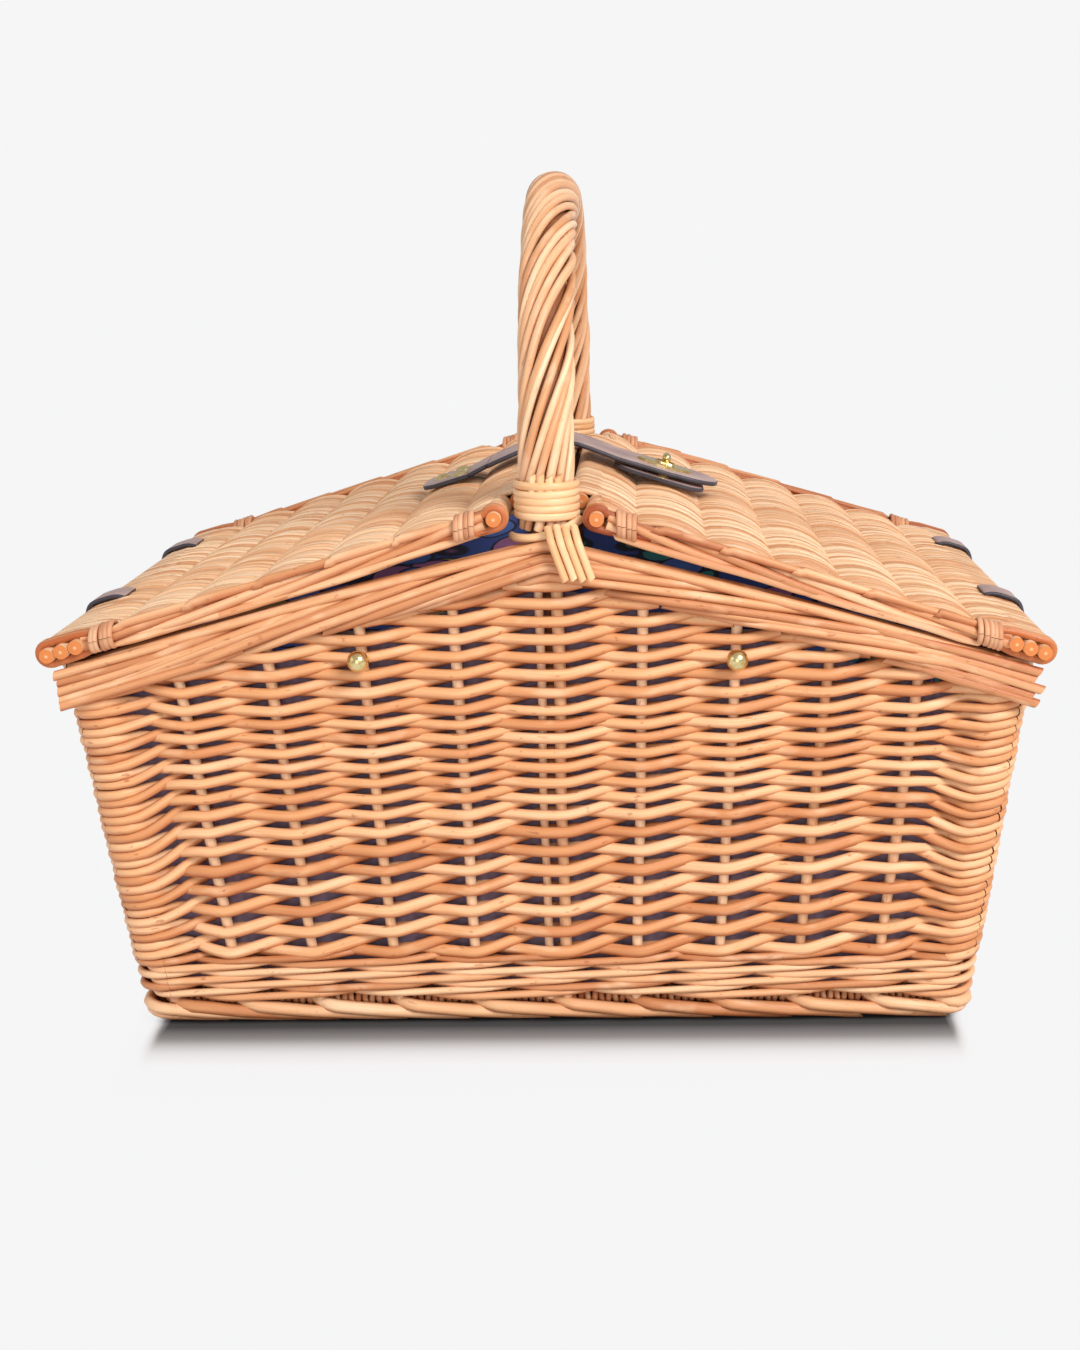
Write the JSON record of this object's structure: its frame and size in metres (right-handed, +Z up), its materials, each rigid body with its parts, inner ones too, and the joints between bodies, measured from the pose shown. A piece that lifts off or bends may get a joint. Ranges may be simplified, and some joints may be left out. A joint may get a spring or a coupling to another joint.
{
  "type": "picnic basket",
  "caption": "Gabled willow picnic basket: two woven lids on leather end hinges, a roped hoop handle, brass studs and a leather strap with a brass turn lock.",
  "frame": {"origin": "middle of the flat underside that the basket stands on", "axes": "+Z up, +X along the length towards the lid with the turn lock, -Y towards the front with the two brass studs"},
  "size_m": [0.475, 0.3132, 0.4092],
  "materials": {
    "willow": "natural buff willow, satin",
    "willow_rods": "natural buff willow rods, satin",
    "leather": "smooth mauve-grey, dark cut edges",
    "lining": "printed cotton, matte",
    "brass": "pale polished"
  },
  "bodies": {
    "basket": {"back_collar": "willow", "back_lashing": "willow", "back_stakes": "willow_rods", "back_top_border": "willow", "back_wall_weave": "willow", "base_sticks": "willow_rods", "base_weave": "willow", "body_lining": "lining", "corner_posts": "willow_rods", "foot_border": "willow", "front_collar": "willow", "front_lashing": "willow", "front_stakes": "willow_rods", "front_top_border": "willow", "front_wall_weave": "willow", "handle_bow": "willow_rods", "handle_roping": "willow", "hinge_rivets": "brass", "left_end_stakes": "willow_rods", "left_end_top_border": "willow", "left_end_wall_weave": "willow", "plate_strap": "leather", "right_end_stakes": "willow_rods", "right_end_top_border": "willow", "right_end_wall_weave": "willow", "side_wale": "willow", "wall_studs": "brass"},
    "left_lid": {"clasp_tab": "leather", "clasp_tab_rivets": "brass", "left_back_hinge_strap": "leather", "left_front_hinge_strap": "leather", "left_lid_back_edge": "willow", "left_lid_bindings": "willow", "left_lid_front_edge": "willow", "left_lid_outer_sticks": "willow_rods", "left_lid_ribs": "willow_rods", "left_lid_ridge_sticks": "willow_rods", "left_lid_weave": "willow"},
    "right_lid": {"keeper_rivets": "brass", "keeper_tab": "leather", "lock_base": "brass", "right_back_hinge_strap": "leather", "right_front_hinge_strap": "leather", "right_lid_back_edge": "willow", "right_lid_bindings": "willow", "right_lid_front_edge": "willow", "right_lid_outer_sticks": "willow_rods", "right_lid_ribs": "willow_rods", "right_lid_ridge_sticks": "willow_rods", "right_lid_weave": "willow"},
    "clasp_bend": {"clasp_bend": "leather"},
    "clasp_flap": {"clasp_flap": "leather", "lock_plate": "brass"},
    "turn_knob": {"turn_knob": "brass"}
  },
  "joints": [
    {"name": "left_lid_hinge", "type": "hinge", "parent": "basket", "child": "left_lid", "pos_m": [-0.2315, 0, 0.1895], "axis": [0, -1, 0], "range_deg": [0, 105], "deforming": ["left_front_hinge_strap", "left_back_hinge_strap"]},
    {"name": "right_lid_hinge", "type": "hinge", "parent": "basket", "child": "right_lid", "pos_m": [0.2315, 0, 0.1895], "axis": [0, 1, 0], "range_deg": [0, 105], "deforming": ["right_front_hinge_strap", "right_back_hinge_strap"]},
    {"name": "clasp_droop", "type": "hinge", "parent": "left_lid", "child": "clasp_bend", "pos_m": [-0.0369, 0, 0.2645], "axis": [0, -1, 0], "range_deg": [-137, 0], "deforming": ["clasp_bend"]},
    {"name": "clasp_lift", "type": "hinge", "parent": "clasp_bend", "child": "clasp_flap", "pos_m": [-0.0369, 0, 0.2645], "axis": [0, -1, 0], "range_deg": [0, 150], "deforming": ["clasp_flap"]},
    {"name": "knob_turn", "type": "hinge", "parent": "right_lid", "child": "turn_knob", "pos_m": [0.05561, 0, 0.26403], "axis": [0.289, 0, 0.9573], "range_deg": [0, 90]}
  ],
  "couplings": [
    {"joint": "clasp_droop", "follows": "left_lid_hinge", "ratio": -1.3}
  ]
}
